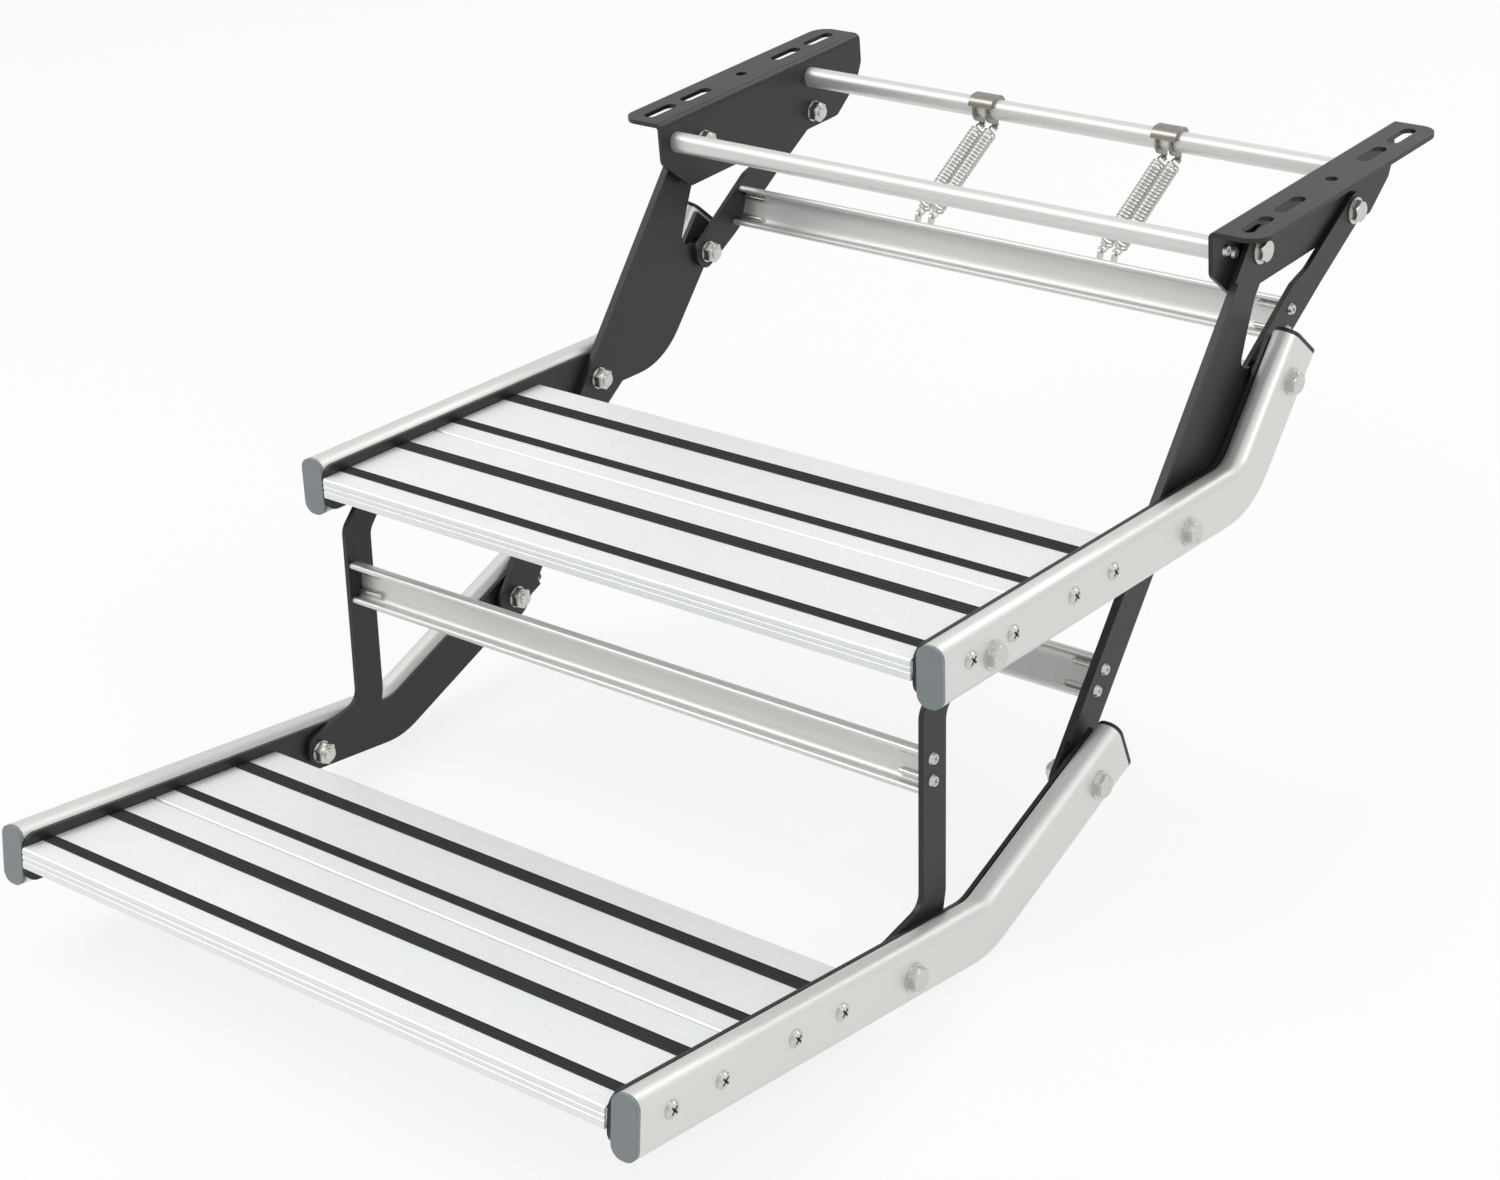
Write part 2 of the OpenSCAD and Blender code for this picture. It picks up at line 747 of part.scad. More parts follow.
module upper_link_spacers() {
    color(black) both_sides() difference() {
        rod(D, rear_link_out + 0.4, side_in, spacer_r);
        rod(D, rear_link_out, side_in + 1, bolt_r + pin_play);
    }
}

upper_pivots = [C, D, G];
lower_pivots = [E, F];
upper_past = 28;
lower_past = 34;

module upper_rail(left) {
    mirrored(left) rail(upper_at, upper_tilt, upper_bend, D, upper_past, upper_pivots);
}

module lower_rail(left) {
    mirrored(left) rail(lower_at, lower_tilt, lower_bend, E, lower_past, lower_pivots);
}

module upper_side_plate(left) {
    mirrored(left) side_plate(upper_at, upper_tilt, upper_bend, D, upper_past, upper_pivots);
}

module lower_side_plate(left) {
    mirrored(left) side_plate(lower_at, lower_tilt, lower_bend, E, lower_past, lower_pivots);
}

bracket(true);  // bracket_left
bracket(false);  // bracket_right
front_bar();
rear_bar();
bracket_screws();
arm_pivot_bolts();
pivot_nuts(A, bracket_in);  // arm_pivot_nuts
arm_pivot_spacers();
rear_link_bolts();
pivot_nuts(B, bracket_in);  // rear_link_nuts
spring_hangers();
arm(true);  // arm_left
arm(false);  // arm_right
channel_bar(arm_bar_at, arm_in);  // arm_bar
bar_screws(arm_bar_at, arm_out, arm_t);  // arm_bar_screws
rear_link(true);  // rear_link_left
rear_link(false);  // rear_link_right
channel_bar(link_bar_at, rear_link_in);  // link_bar
bar_screws(link_bar_at, rear_link_out, link_t);  // link_bar_screws
link_studs(D, rear_link_out, rear_link_in);  // rear_link_studs
spring_anchors();
springs(spring_x[0]);  // spring_left
springs(spring_x[1]);  // spring_right
upper_rail(true);  // upper_rail_left
upper_rail(false);  // upper_rail_right
upper_side_plate(true);  // upper_side_plate_left
upper_side_plate(false);  // upper_side_plate_right
plank(upper_at, upper_tilt, 0);  // upper_front_plank
plank(upper_at, upper_tilt, 1);  // upper_rear_plank
grip_strips(upper_at, upper_tilt);  // upper_grip_strips
front_caps(upper_at, upper_tilt);  // upper_front_caps
rear_caps(upper_at, upper_tilt, upper_bend, D, upper_past);  // upper_rear_caps
tread_screws(upper_at, upper_tilt);  // upper_tread_screws
rail_pivot_bolts(C);  // upper_pivot_bolts
pivot_nuts(C, arm_in - 0.2);  // upper_pivot_nuts
open_bolts(D, rear_link_out + 0.4);  // upper_link_bolts
upper_link_spacers();
open_bolts(G, front_link_in - washer_t - nut_t - 3.2);  // front_link_bolts
pivot_nuts(G, front_link_in - 0.2);  // front_link_nuts
front_link(true);  // front_link_left
front_link(false);  // front_link_right
channel_bar(front_link_bar_at, front_link_in);  // front_link_bar
bar_screws(front_link_bar_at, front_link_out, link_t);  // front_link_screws
link_studs(F, front_link_out, front_link_in);  // front_link_studs
lower_rail(true);  // lower_rail_left
lower_rail(false);  // lower_rail_right
lower_side_plate(true);  // lower_side_plate_left
lower_side_plate(false);  // lower_side_plate_right
plank(lower_at, lower_tilt, 0);  // lower_front_plank
plank(lower_at, lower_tilt, 1);  // lower_rear_plank
grip_strips(lower_at, lower_tilt);  // lower_grip_strips
front_caps(lower_at, lower_tilt);  // lower_front_caps
rear_caps(lower_at, lower_tilt, lower_bend, E, lower_past);  // lower_rear_caps
tread_screws(lower_at, lower_tilt);  // lower_tread_screws
rail_pivot_bolts(E);  // lower_pivot_bolts
pivot_nuts(E, arm_in - 0.2);  // lower_pivot_nuts
open_bolts(F, side_in);  // lower_link_bolts
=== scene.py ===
"""Dresses a fold-out caravan entry step: rails, treads, bars, springs, finishes and a studio."""
import json

import bpy
import numpy as np
from bpy.props import FloatProperty, FloatVectorProperty, IntProperty, PointerProperty
from mathutils import Matrix, Vector


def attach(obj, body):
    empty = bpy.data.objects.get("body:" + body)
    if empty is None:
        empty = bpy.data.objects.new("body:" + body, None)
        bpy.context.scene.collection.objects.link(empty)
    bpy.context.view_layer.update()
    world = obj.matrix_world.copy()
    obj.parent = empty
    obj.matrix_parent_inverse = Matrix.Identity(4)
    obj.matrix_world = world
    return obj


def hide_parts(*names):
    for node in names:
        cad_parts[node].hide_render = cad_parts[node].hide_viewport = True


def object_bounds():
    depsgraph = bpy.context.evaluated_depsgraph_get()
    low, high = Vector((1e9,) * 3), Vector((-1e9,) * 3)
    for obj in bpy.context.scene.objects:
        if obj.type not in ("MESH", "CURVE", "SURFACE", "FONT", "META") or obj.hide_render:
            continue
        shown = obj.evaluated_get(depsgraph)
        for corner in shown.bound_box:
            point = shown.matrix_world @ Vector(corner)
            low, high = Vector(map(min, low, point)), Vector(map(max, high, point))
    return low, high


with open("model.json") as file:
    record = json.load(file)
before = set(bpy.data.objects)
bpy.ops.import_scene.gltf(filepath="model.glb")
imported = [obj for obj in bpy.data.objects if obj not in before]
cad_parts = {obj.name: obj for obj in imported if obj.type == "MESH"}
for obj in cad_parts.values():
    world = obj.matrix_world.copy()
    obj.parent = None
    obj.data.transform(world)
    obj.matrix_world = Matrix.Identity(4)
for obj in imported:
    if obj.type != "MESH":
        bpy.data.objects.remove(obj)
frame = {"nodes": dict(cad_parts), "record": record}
CAD_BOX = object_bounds()

bl_info = {
    "name": "Caravan Entry Step",
    "version": (1, 0, 0),
    "blender": (4, 5, 0),
    "location": "View3D > Sidebar > Entry Step",
    "description": "Makes the visible pieces and finishes of a folding two-tread entry step",
    "category": "Object",
}

# Pivots as (y, z) in mm, as folded out
PIVOTS = {
    "A": (-80.0, -28.0), "B": (61.0, -46.5), "C": (-218.5, -181.5), "D": (-81.0, -122.0),
    "E": (-336.5, -322.5), "F": (-553.0, -355.0), "G": (-452.5, -168.0),
}

# Each step: front edge at deck level (y, z) in mm, slope, rail bend, end pivot, rail past it
STEPS = {
    "upper": ((-508.6, -148.6), -3.47, 50.0, "D", 28.0),
    "lower": ((-818.7, -295.9), -9.54, 28.5, "E", 34.0),
}

# Layers across the step in mm, from the middle outwards
BRACKET_IN = 246.4
REAR_LINK_IN = 250.4
ARM_IN = 255.0
FRONT_LINK_IN = 257.5
RAIL_IN = 264.8
RAIL_OUT = 284.8

# Heights in a step's own frame in mm, from its deck line
DECK_Z = -3.0
RAIL_MID = -13.0
RAIL_START = 5.0
RAIL_BEND_R = 46.0
SCREW_Y = (32.8, 79.5)
SCREW_Z = -9.5

# A plank's section in mm: skin, lips, grip seats, screw ports, and grooves in its front edge
SKIN = 2.0
LIP = 7.0
GRIPS = ((17.7, 27.5), (74.6, 87.4))
GRIP_SEAT = 1.6
PORT_R = 3.9
PORT_WEB = 2.0
EDGE_ROUND = 2.4
EDGE_GROOVES = (5.0, 9.0)
EDGE_GROOVE_DEPTH = 0.9

# Pivot nuts in mm: clearance of those on an arm or a step, washer, nut, thread past the nut
NUT_PLAY = 0.2
WASHER_T = 1.5
NUT_T = 6.0
THREAD_PAST = 3.15
THREAD_R = 5.02
THREAD_TURNS = 3.5

# Channel bars: name, body, (y, z) in mm of the web, turn, reach across
CHANNELS = (
    ("arm_bar", "arms", (-290.0, -272.14), -41.06, ARM_IN),
    ("link_bar", "rear_links", (-30.0, -100.0), -22.0, REAR_LINK_IN),
    ("front_link_bar", "front_links", (-488.0, -240.0), -4.0, FRONT_LINK_IN),
)

# Springs in mm: places across of the pairs, upper and lower hook points, radius of the loops
SPRING_X = (-70.0, 98.0)
HOOK_TOP = (61.93, -31.03)
HOOK_LOW = (-27.7, -78.28)
HOOK_R = 3.4

# Camera: place in metres, turn, height and roll in degrees, focal length for a 36 mm sensor
CAMERA_AT = (1.2914, -1.8445, 0.7684)
CAMERA_TURN = 40.876
CAMERA_HEIGHT = 27.116
CAMERA_ROLL = -4.679
CAMERA_LENS = 74.122

MM = 0.001


class StepSizes(bpy.types.PropertyGroup):
    """Sizes of the pieces that are made here."""

    tread_width: FloatProperty(name="Tread width", description="Width of the planks",
                               default=0.523, unit="LENGTH")
    plank_depth: FloatProperty(name="Plank depth", description="Depth of one plank, front to back",
                               default=0.115, unit="LENGTH")
    plank_gap: FloatProperty(name="Plank gap", description="Gap between the two planks of a tread",
                             default=0.0015, unit="LENGTH")
    plank_height: FloatProperty(name="Plank height", description="Height of a plank's front edge",
                                default=0.015, unit="LENGTH")
    groove_pitch: FloatProperty(name="Groove pitch", description="Distance between the fine grooves",
                                default=0.0021, unit="LENGTH")
    groove_depth: FloatProperty(name="Groove depth", description="Depth of the fine grooves",
                                default=0.0003, unit="LENGTH")
    rail_height: FloatProperty(name="Rail height", description="Height of the side rails",
                               default=0.043, unit="LENGTH")
    rail_round: FloatProperty(name="Rail rounding", description="Corner radius of the side rails",
                              default=0.0085, unit="LENGTH")
    channel_height: FloatProperty(name="Channel height", description="Height of the channel bars",
                                  default=0.032, unit="LENGTH")
    channel_depth: FloatProperty(name="Channel depth", description="Depth of the channel bars",
                                 default=0.0135, unit="LENGTH")
    wire: FloatProperty(name="Spring wire", description="Diameter of the spring wire",
                        default=0.0016, unit="LENGTH")
    coil: FloatProperty(name="Spring coil", description="Outer diameter of the springs",
                        default=0.0115, unit="LENGTH")
    coil_gap: FloatProperty(name="Spring gap", description="Gap between the two springs of a pair",
                            default=0.001, unit="LENGTH")
    turns: IntProperty(name="Spring turns", description="Number of turns of each spring",
                       default=26, min=4)
    edge: FloatProperty(name="Edge rounding", description="Rounding of the sheet and fastener edges",
                        default=0.0006, unit="LENGTH")


def colour_property(name, description, value):
    """A colour that a user can change."""
    return FloatVectorProperty(name=name, description=description, default=value, subtype="COLOR",
                               size=3, min=0.0, max=1.0)


class StepColours(bpy.types.PropertyGroup):
    """Base colours of the finishes."""

    black_coat: colour_property("Black coat", "Powder-coated steel", (0.0165, 0.017, 0.0185))
    rail_metal: colour_property("Rail metal", "Satin anodised rails and bars", (0.74, 0.745, 0.72))
    tread_metal: colour_property("Tread metal", "Ribbed planks", (0.87, 0.89, 0.885))
    zinc: colour_property("Zinc", "Plated bolts, nuts and springs", (0.62, 0.61, 0.575))
    # Darker copy of the zinc: painted shade on the spring clips, which sit in shadow
    clip: colour_property("Clip", "Clips of the springs", (0.30, 0.28, 0.255))
    rubber: colour_property("Rubber", "Grip strips", (0.032, 0.033, 0.034))
    cap_grey: colour_property("Cap grey", "Front end caps", (0.235, 0.265, 0.275))
    # Black of the rear end caps, and also the painted shade in the screw heads' cross recesses
    cap_black: colour_property("Cap black", "Rear end caps", (0.018, 0.018, 0.020))
    backdrop: colour_property("Backdrop", "Floor of the studio", (0.96, 0.96, 0.96))


# Shapes

class Shape:
    """Collects grids of points and makes one mesh of them."""

    def __init__(self):
        self.points = []
        self.faces = []
        self.uvs = []
        self.count = 0

    def grid(self, points, u, v):
        """A closed surface over rows and columns of points (n, m, 3).

        The last column joins the first, and the first and last rows are filled. u and v give
        the UV of rows and columns.
        """
        n, m = points.shape[:2]
        base = self.count
        self.points.append(points.reshape(-1, 3))
        self.count += n * m
        i, j = np.meshgrid(np.arange(n - 1), np.arange(m), indexing="ij")
        k = (j + 1) % m
        quad = np.stack([i * m + j, i * m + k, (i + 1) * m + k, (i + 1) * m + j], -1).reshape(-1, 4)
        self.faces.extend((quad + base).tolist())
        uv = np.stack([
            np.stack([u[i], v[j]], -1), np.stack([u[i], v[j + 1]], -1),
            np.stack([u[i + 1], v[j + 1]], -1), np.stack([u[i + 1], v[j]], -1)], -2)
        self.uvs.append(uv.reshape(-1, 2))
        for ring, row in ((np.arange(m)[::-1], 0), (np.arange(m), n - 1)):
            self.faces.append((ring + row * m + base).tolist())
            flat = points[row][ring]
            self.uvs.append(np.stack([flat[:, 0] + flat[:, 1], flat[:, 2]], -1))

    def mirrored(self):
        """Adds the same again on the other side of the middle plane."""
        points = np.concatenate(self.points) * (-1.0, 1.0, 1.0)
        uvs = np.concatenate(self.uvs)
        starts = np.cumsum([0] + [len(f) for f in self.faces])
        faces = [[p + self.count for p in f[::-1]] for f in self.faces]
        turned = [uvs[a:b][::-1] for a, b in zip(starts[:-1], starts[1:])]
        self.points.append(points)
        self.faces.extend(faces)
        self.uvs.extend(turned)
        self.count *= 2

    def make(self, name, finish, slot, body, *nodes, sharp=35.0):
        """The mesh as an object that rides on a body and stands for the CAD nodes."""
        mesh = bpy.data.meshes.new(name)
        mesh.from_pydata(np.concatenate(self.points).tolist(), [], self.faces)
        layer = mesh.uv_layers.new(name="along")
        layer.data.foreach_set("uv", np.concatenate(self.uvs).astype(np.float32).ravel())
        mesh.polygons.foreach_set("use_smooth", np.ones(len(mesh.polygons), dtype=bool))
        mesh.set_sharp_from_angle(angle=np.radians(sharp))
        mesh.materials.append(finish)
        mesh.validate()
        mesh.update()
        piece = bpy.data.objects.new(name, mesh)
        bpy.context.scene.collection.objects.link(piece)
        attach(piece, body)
        if nodes:
            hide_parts(*nodes)


def lengths(points):
    """Distance run along a row of points."""
    return np.concatenate([[0.0], np.cumsum(np.linalg.norm(np.diff(points, axis=0), axis=-1))])


def rounded(corners, steps=8):
    """A closed outline whose corners (x, y, radius) are arcs, tangent to both sides."""
    out = []
    count = len(corners)
    for i, (x, y, radius) in enumerate(corners):
        b = np.array((x, y))
        if radius <= 0:
            out.append(b[None])
            continue
        p = np.array(corners[i - 1][:2]) - b
        q = np.array(corners[(i + 1) % count][:2]) - b
        p, q = p / np.linalg.norm(p), q / np.linalg.norm(q)
        half = np.arccos(np.clip(p @ q, -1, 1)) / 2
        middle = b + (p + q) / np.linalg.norm(p + q) * radius / np.sin(half)
        start = b + p * radius / np.tan(half) - middle
        stop = b + q * radius / np.tan(half) - middle
        a0 = np.arctan2(start[1], start[0])
        sweep = (np.arctan2(stop[1], stop[0]) - a0 + np.pi) % (2 * np.pi) - np.pi
        t = a0 + sweep * np.linspace(0, 1, steps + 1)
        out.append(middle + radius * np.stack([np.cos(t), np.sin(t)], -1))
    return np.concatenate(out)


def in_step(step, y, z):
    """Points of a step's own frame (y, z) in mm, turned by its slope and set at its place."""
    at, slope = STEPS[step][:2]
    a = np.radians(slope)
    return at[0] + y * np.cos(a) - z * np.sin(a), at[1] + y * np.sin(a) + z * np.cos(a)


def carried_across(profile, x0, x1):
    """A profile of (y, z) points carried along X between two planes."""
    x = np.linspace(x0, x1, 2)
    points = np.empty((2, len(profile), 3))
    points[..., 0] = x[:, None]
    points[..., 1:] = profile
    return points * MM, x * MM, lengths(np.vstack([profile, profile[:1]])) * MM


def revolved(at, x, radius, sides=40):
    """Radius over x, turned about a line along X through (y, z)."""
    t = np.linspace(0, 2 * np.pi, sides, endpoint=False)
    points = np.empty((len(x), sides, 3))
    points[..., 0] = np.asarray(x)[:, None]
    points[..., 1] = at[0] + np.outer(radius, np.cos(t))
    points[..., 2] = at[1] + np.outer(radius, np.sin(t))
    return points * MM, np.asarray(x) * MM, np.linspace(0, 2 * np.pi, sides + 1) * max(radius) * MM


def tube(path, reference, radius, sides=12):
    """A circle of one radius carried along a path, square to it and level with a direction."""
    run = np.gradient(path, axis=0)
    run /= np.linalg.norm(run, axis=1, keepdims=True)
    first = np.cross(run, reference)
    first /= np.linalg.norm(first, axis=1, keepdims=True)
    second = np.cross(run, first)
    t = np.linspace(0, 2 * np.pi, sides, endpoint=False)
    ring = first[:, None] * np.cos(t)[:, None] + second[:, None] * np.sin(t)[:, None]
    return path[:, None] + radius * ring, lengths(path), np.linspace(0, 2 * np.pi * radius, sides + 1)


def rail_line(step, bend_steps=36):
    """A rail's mid line as rows (y, z, slope) in the step's frame: straight, arc, straight."""
    at, slope, bend, pivot, past = STEPS[step]
    a, b = np.radians(slope), np.radians(bend)
    dy, dz = PIVOTS[pivot][0] - at[0], PIVOTS[pivot][1] - at[1]
    py, pz = dy * np.cos(a) + dz * np.sin(a), dz * np.cos(a) - dy * np.sin(a)
    tangent = RAIL_BEND_R * np.tan(b / 2)
    y1 = py - (pz - RAIL_MID) / np.tan(b) - tangent
    reach = (pz - RAIL_MID) / np.sin(b) - tangent + past
    t = np.linspace(0, b, bend_steps + 1)
    arc = np.stack([y1 + RAIL_BEND_R * np.sin(t), RAIL_MID + RAIL_BEND_R * (1 - np.cos(t)), t], -1)
    end = arc[-1] + reach * np.array((np.cos(b), np.sin(b), 0))
    return np.vstack([[RAIL_START, RAIL_MID, 0], arc, end])


# Finishes

class Wire:
    """A value in a shader: sums and products of wires become Math nodes."""

    def __init__(self, tree, socket):
        self.tree = tree
        self.socket = socket

    def math(self, operation, first, second=None):
        """One Math node on wires or numbers."""
        node = self.tree.nodes.new("ShaderNodeMath")
        node.operation = operation
        for place, value in enumerate((first, second)):
            if isinstance(value, Wire):
                self.tree.links.new(value.socket, node.inputs[place])
            elif value is not None:
                node.inputs[place].default_value = value
        return Wire(self.tree, node.outputs[0])

    def __add__(self, other):
        return self.math("ADD", self, other)

    __radd__ = __add__

    def __sub__(self, other):
        return self.math("SUBTRACT", self, other)

    def __rsub__(self, other):
        return self.math("SUBTRACT", other, self)

    def __mul__(self, other):
        return self.math("MULTIPLY", self, other)

    __rmul__ = __mul__


class Finish:
    """A material whose nodes are added by calls."""

    def __init__(self, name, tint, roughness, metallic=0.0, **constants):
        self.material = bpy.data.materials.new(name)
        self.material.use_nodes = True
        self.tree = self.material.node_tree
        self.shader = self.tree.nodes["Principled BSDF"]
        self.set("Base Color", (*tint, 1.0))
        self.set("Roughness", roughness)
        self.set("Metallic", metallic)
        for socket, value in constants.items():
            self.set(socket.replace("_", " "), value)

    def set(self, socket, value):
        """Gives one of the shader's sockets a value or a wire."""
        place = self.shader.inputs[socket]
        if isinstance(value, Wire):
            self.tree.links.new(value.socket, place)
        else:
            place.default_value = value

    def node(self, kind, settings=None, output=0, **sockets):
        """A node of any kind, with its settings and its sockets by name. Gives one output."""
        node = self.tree.nodes.new(kind)
        for name, value in (settings or {}).items():
            setattr(node, name, value)
        for name, value in sockets.items():
            place = next(s for s in node.inputs if s.identifier == name)
            if isinstance(value, Wire):
                self.tree.links.new(value.socket, place)
            else:
                place.default_value = value
        return Wire(self.tree, node.outputs[output])

    def place(self, stretch=(1.0, 1.0, 1.0), uv=False):
        """Object coordinates or the piece's own UV, stretched."""
        source = self.node("ShaderNodeTexCoord", output=2 if uv else 3)
        return self.node("ShaderNodeMapping", Vector=source, Scale=stretch)

    def noise(self, place, scale, detail=3.0, rough=0.5):
        """Soft noise from 0 to 1 at a scale."""
        return self.node("ShaderNodeTexNoise", Vector=place, Scale=scale, Detail=detail,
                         Roughness=rough)

    def blend(self, share, first, second):
        """A colour between two, by a share."""
        return self.node("ShaderNodeMix", {"data_type": "RGBA"}, output=2, Factor_Float=share,
                         A_Color=(*first, 1.0), B_Color=(*second, 1.0))

    def relief(self, height, distance, strength=1.0, edge=0.0):
        """Bump from a height, over edges that are rounded by a small radius."""
        extra = {}
        if edge:
            extra["Normal"] = self.node("ShaderNodeBevel", {"samples": 4}, Radius=edge)
        self.set("Normal", self.node("ShaderNodeBump", Height=height, Distance=distance,
                                     Strength=strength, **extra))


def shade(tint, factor):
    """A lighter or darker tint."""
    return tuple(min(1.0, c * factor) for c in tint)


def black_coat_finish(tint, edge):
    """Satin powder coat: a fine orange-peel skin, faint cloudiness, and slightly paler high spots."""
    f = Finish("black_coat", tint, 0.4, IOR=1.5, Specular_IOR_Level=0.4)
    peel = f.noise(f.place(), 1500.0, 2.0)
    cloud = f.noise(f.place(), 22.0, 4.0)
    f.set("Base Color", f.blend(cloud, shade(tint, 0.85), shade(tint, 1.35)))
    f.set("Roughness", 0.33 + cloud * 0.10 + peel * 0.05)
    f.relief(peel, 0.00006, 0.5, edge)
    return f.material


def drawn_metal_finish(name, tint, stretch, uv, base_rough, metallic, edge=0.0, line=0.00002):
    """Satin anodised metal with fine drawing lines along its length and soft clouds."""
    f = Finish(name, tint, base_rough, metallic)
    lines = f.noise(f.place(stretch, uv), 1.0, 4.0, 0.6)
    cloud = f.noise(f.place(), 9.0, 3.0)
    f.set("Base Color", f.blend(lines * 0.6 + cloud * 0.4, shade(tint, 0.93), shade(tint, 1.04)))
    f.set("Roughness", base_rough - 0.05 + lines * 0.08 + cloud * 0.05)
    f.relief(lines, line, 0.6, edge)
    return f.material


def zinc_finish(name, tint, edge):
    """Bright zinc plate: mottled tone, small pits and a turned sheen."""
    f = Finish(name, tint, 0.25, 1.0)
    mottle = f.noise(f.place(), 260.0, 3.0, 0.5)
    wide = f.noise(f.place(), 35.0, 2.0)
    f.set("Base Color", f.blend(mottle, shade(tint, 0.84), shade(tint, 1.14)))
    f.set("Roughness", 0.20 + mottle * 0.10 + wide * 0.06)
    f.relief(mottle, 0.00002, 0.5, edge)
    return f.material


def rubber_finish(tint):
    """Matt extruded rubber with a fine grain and dusty high spots."""
    f = Finish("ribbed_rubber", tint, 0.8, IOR=1.4, Specular_IOR_Level=0.3)
    grain = f.noise(f.place((60.0, 1400.0, 1400.0)), 1.0, 3.0)
    dust = f.noise(f.place(), 60.0, 4.0)
    f.set("Base Color", f.blend(dust, shade(tint, 0.85), shade(tint, 1.3)))
    f.set("Roughness", 0.70 + grain * 0.2)
    f.relief(grain, 0.0001, 0.6, 0.0004)
    return f.material


def moulded_finish(name, tint, edge):
    """Moulded plastic with a fine spark-eroded grain."""
    f = Finish(name, tint, 0.5, IOR=1.46)
    grain = f.noise(f.place(), 2200.0, 2.0)
    cloud = f.noise(f.place(), 40.0, 2.0)
    f.set("Base Color", f.blend(cloud, shade(tint, 0.94), shade(tint, 1.07)))
    f.set("Roughness", 0.42 + grain * 0.12)
    f.relief(grain, 0.00005, 0.5, edge)
    return f.material


def finishes():
    """The named finishes, made once from the chosen colours."""
    tints = bpy.context.scene.step_colours
    edge = bpy.context.scene.step_sizes.edge
    made = {m.name: m for m in bpy.data.materials}
    if "black_coat" not in made:
        black_coat_finish(tints.black_coat, edge)
        drawn_metal_finish("rail_metal", tints.rail_metal, (6.0, 1500.0, 1.0), True, 0.44, 0.72)
        drawn_metal_finish("bar_metal", tints.rail_metal, (6.0, 1500.0, 1500.0), False, 0.42, 0.72,
                           edge)
        drawn_metal_finish("tread_metal", tints.tread_metal, (5.0, 1900.0, 1900.0), False, 0.42, 0.55)
        zinc_finish("zinc", tints.zinc, edge * 0.7)
        # The clips get the zinc finish with a darker tint as painted shade
        zinc_finish("clip", tints.clip, edge * 0.7)
        rubber_finish(tints.rubber)
        moulded_finish("cap_grey", tints.cap_grey, edge * 1.6)
        # This finish serves the real black caps and the painted shade of the screw recesses
        moulded_finish("cap_black", tints.cap_black, edge)
    return {m.name: m for m in bpy.data.materials}


def paint(node, finish):
    """Gives a CAD node one of the finishes."""
    for place in frame["nodes"][node].material_slots:
        place.link = "OBJECT"
        place.material = finish


# Operators

class Piece(bpy.types.Operator):
    """What the piece operators share."""

    bl_options = {"REGISTER", "UNDO"}

    @property
    def sizes(self):
        return bpy.context.scene.step_sizes


class STEP_OT_rails(Piece):
    """Four bent side rails with a flat-oval section"""

    bl_idname = "entry_step.rails"
    bl_label = "Side Rails"

    def execute(self, context):
        half = self.sizes.rail_height / MM / 2
        r = self.sizes.rail_round / MM
        section = rounded([(RAIL_IN, -half, r), (RAIL_IN, half, r), (RAIL_OUT, half, r),
                           (RAIL_OUT, -half, r)], 12)
        around = lengths(np.vstack([section, section[:1]])) * MM
        for step in STEPS:
            line = rail_line(step)
            y = line[:, :1] - np.outer(np.sin(line[:, 2]), section[:, 1])
            z = line[:, 1:2] + np.outer(np.cos(line[:, 2]), section[:, 1])
            wy, wz = in_step(step, y, z)
            points = np.stack([np.broadcast_to(section[:, 0], wy.shape), wy, wz], -1) * MM
            across = (points * (-1.0, 1.0, 1.0))[:, ::-1]
            for side, seen in (("right", points), ("left", across)):
                shape = Shape()
                shape.grid(seen, lengths(line[:, :2]) * MM, around)
                shape.make(f"{step}_rail_{side}_shell", finishes()["rail_metal"], "anodised_rail",
                           f"{step}_step", f"{step}_rail_{side}")
        return {"FINISHED"}


